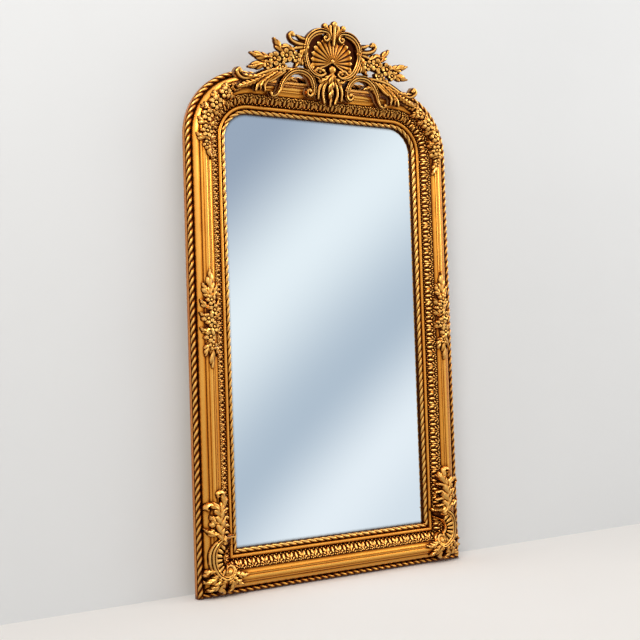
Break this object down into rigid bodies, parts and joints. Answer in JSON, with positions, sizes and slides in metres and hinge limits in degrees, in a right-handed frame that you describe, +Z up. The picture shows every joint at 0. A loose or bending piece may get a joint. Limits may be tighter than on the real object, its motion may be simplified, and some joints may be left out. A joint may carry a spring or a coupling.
{
  "type": "baroque mirror",
  "caption": "Tall arched standing mirror in a gilded moulded frame with rope and leaf bands, corner cartouches, flower clusters and an openwork shell crest, with rear strap hangers.",
  "frame": {"origin": "on the flat underside of the bottom rail, under the middle of the frame and half way through its edge", "axes": "+Z up, -Y the mirror's front, +X to the right seen from the front"},
  "size_m": [1.012, 0.1511, 1.861],
  "materials": {
    "gilt_moulding": "antiqued gold leaf over gesso on moulded wood",
    "gilt_strip": "antiqued gold leaf on carved rope and leaf strips, dark in the recesses",
    "gilt_ornament": "antiqued gold leaf on carved ornament, dark in the recesses",
    "silvered_glass": "silvered plate glass with a ground edge",
    "hardboard": "smooth brown hardboard",
    "bare_wood": "planed softwood",
    "plated_steel": "zinc-plated steel"
  },
  "bodies": {
    "frame": {"backing_board": "hardboard", "bottom_rail": "gilt_moulding", "bracket_screws": "plated_steel", "corner_cartouche_left": "gilt_ornament", "corner_cartouche_right": "gilt_ornament", "corner_garland_left": "gilt_ornament", "corner_garland_right": "gilt_ornament", "crest_bracket": "bare_wood", "crest_finial": "gilt_ornament", "crest_pendant": "gilt_ornament", "crest_scroll_left": "gilt_ornament", "crest_scroll_right": "gilt_ornament", "crest_shell": "gilt_ornament", "flower_spray_left": "gilt_ornament", "flower_spray_right": "gilt_ornament", "hanger_screws": "plated_steel", "hanger_strap_left": "plated_steel", "hanger_strap_right": "plated_steel", "holding_strip_bottom": "bare_wood", "holding_strip_left": "bare_wood", "holding_strip_right": "bare_wood", "holding_strip_top": "bare_wood", "inner_rope_bottom": "gilt_strip", "inner_rope_left": "gilt_strip", "inner_rope_right": "gilt_strip", "inner_rope_top": "gilt_strip", "joint_dowels": "bare_wood", "leaf_band_bottom": "gilt_strip", "leaf_band_left": "gilt_strip", "leaf_band_right": "gilt_strip", "leaf_band_top": "gilt_strip", "left_stile": "gilt_moulding", "mirror_glass": "silvered_glass", "outer_rope_bottom": "gilt_strip", "outer_rope_left": "gilt_strip", "outer_rope_right": "gilt_strip", "outer_rope_top": "gilt_strip", "right_stile": "gilt_moulding", "setting_blocks": "bare_wood", "shell_surround_left": "gilt_ornament", "shell_surround_right": "gilt_ornament", "side_bouquet_left": "gilt_ornament", "side_bouquet_right": "gilt_ornament", "strip_pins": "plated_steel", "top_left_shoulder": "gilt_moulding", "top_rail": "gilt_moulding", "top_right_shoulder": "gilt_moulding"},
    "ring_left": {"d_ring_left": "plated_steel"},
    "ring_right": {"d_ring_right": "plated_steel"}
  },
  "joints": [
    {"name": "ring_left_swing", "type": "hinge", "parent": "frame", "child": "ring_left", "pos_m": [-0.428, 0.02, 1.33], "axis": [1, 0, 0], "range_deg": [0, 180]},
    {"name": "ring_right_swing", "type": "hinge", "parent": "frame", "child": "ring_right", "pos_m": [0.428, 0.02, 1.33], "axis": [1, 0, 0], "range_deg": [0, 180]}
  ]
}
